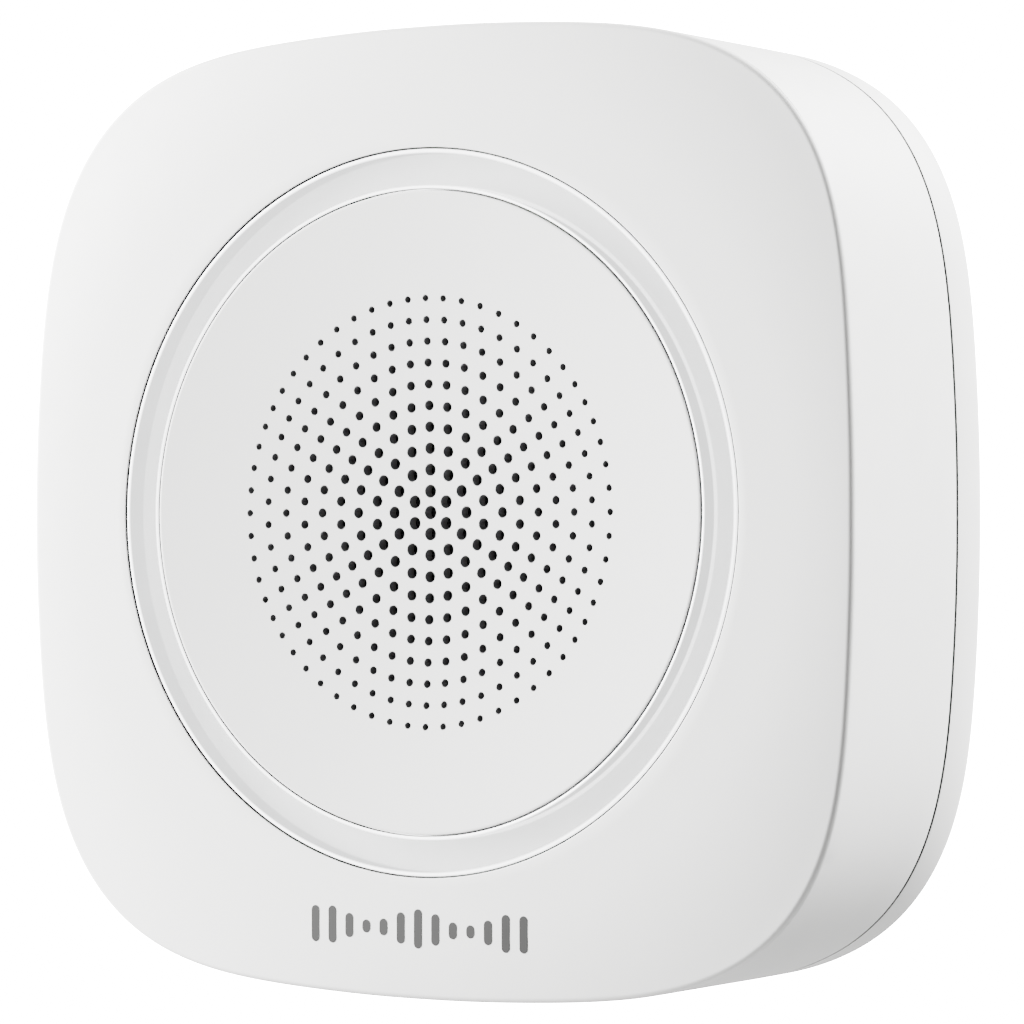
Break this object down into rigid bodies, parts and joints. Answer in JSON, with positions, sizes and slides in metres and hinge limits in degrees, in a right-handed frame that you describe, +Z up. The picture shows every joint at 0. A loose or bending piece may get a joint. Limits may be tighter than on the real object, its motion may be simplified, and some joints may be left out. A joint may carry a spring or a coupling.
{
  "type": "alarm siren",
  "caption": "Square wall-mounted wireless alarm siren with a dished round grille, a clear strobe ring and a housing that swings off a screwed wall plate.",
  "frame": {"origin": "centre of the wall plate's flat back face, on the wall", "axes": "+X to the viewer's right facing the siren, +Y into the wall, +Z up; the grille faces -Y"},
  "size_m": [0.1136, 0.0335, 0.1136],
  "materials": {
    "white_plastic": "fine spark-eroded texture, off-white",
    "clear_plastic": "clear, polished front, frosted back",
    "diffuser_plastic": "white, smooth",
    "chassis_plastic": "light grey, fine texture",
    "white_board": "white solder resist over glass epoxy",
    "green_board": "green solder resist over glass epoxy",
    "led_package": "white package with a yellow phosphor window",
    "black_plastic": "black, fine texture",
    "grey_plastic": "dark grey, fine texture",
    "mesh_cloth": "black woven polyester mesh",
    "foam": "closed-cell foam",
    "brass": "bright, lightly tarnished",
    "ceramic": "silvered ceramic",
    "steel": "bright zinc or nickel plate",
    "ferrite": "sintered ferrite",
    "capacitor_sleeve": "shrunk plastic sleeve",
    "chip_ceramic": "fired ceramic",
    "cell_sleeve": "shrunk plastic sleeve over a steel can",
    "ivory_plastic": "ivory nylon",
    "red_wire": "soft vinyl insulation",
    "black_wire": "soft vinyl insulation"
  },
  "bodies": {
    "base": {"wall_plate": "white_plastic", "lock_insert": "brass"},
    "unit": {"front_cover": "white_plastic", "light_ring": "clear_plastic", "diffuser_ring": "diffuser_plastic", "reflector_ring": "diffuser_plastic", "led_board": "white_board", "strobe_leds": "led_package", "led_board_screws": "steel", "grille_disc": "white_plastic", "dust_mesh": "mesh_cloth", "sounder_gasket": "foam", "sounder_cap": "black_plastic", "sounder_cup": "black_plastic", "sounder_screws": "steel", "piezo_plate": "brass", "piezo_ceramic": "ceramic", "sounder_lead_red": "red_wire", "sounder_lead_black": "black_wire", "sounder_plug": "ivory_plastic", "sounder_socket": "ivory_plastic", "led_leads": "black_wire", "led_plug": "ivory_plastic", "led_socket": "ivory_plastic", "main_board": "green_board", "board_screws": "steel", "radio_can": "steel", "antenna": "brass", "controller_chip": "black_plastic", "audio_driver_chip": "black_plastic", "boost_coil": "ferrite", "capacitors": "capacitor_sleeve", "chip_parts": "chip_ceramic", "rear_chassis": "chassis_plastic", "chassis_screws": "steel", "cell_1": "cell_sleeve", "cell_2": "cell_sleeve", "cell_3": "cell_sleeve", "cell_4": "cell_sleeve", "cell_springs": "steel", "cell_plates": "steel", "tamper_switch": "black_plastic", "tamper_spring": "steel", "enrol_switch": "grey_plastic", "power_switch": "steel"},
    "lock_screw_body": {"lock_screw": "steel"},
    "plunger": {"tamper_plunger": "white_plastic"},
    "button": {"enrol_button": "black_plastic"},
    "slider": {"power_slider": "black_plastic"}
  },
  "joints": [
    {"name": "unit_swing", "type": "hinge", "parent": "base", "child": "unit", "pos_m": [0, -0.002, 0.0533], "axis": [-1, 0, 0], "range_deg": [0, 40]},
    {"name": "lock_travel", "type": "slide", "parent": "base", "child": "lock_screw_body", "axis": [0, 0, -1], "range_m": [0, 0.003]},
    {"name": "tamper_travel", "type": "slide", "parent": "unit", "child": "plunger", "axis": [0, 1, 0], "range_m": [0, 0.0015], "stiffness_N_per_m": 100, "springref_m": 0.0035, "deforming": ["tamper_spring"]},
    {"name": "enrol_press", "type": "slide", "parent": "unit", "child": "button", "axis": [0, -1, 0], "range_m": [0, 0.0005], "stiffness_N_per_m": 600, "springref_m": -0.001},
    {"name": "power_switch_travel", "type": "slide", "parent": "unit", "child": "slider", "axis": [1, 0, 0], "range_m": [0, 0.003]}
  ]
}
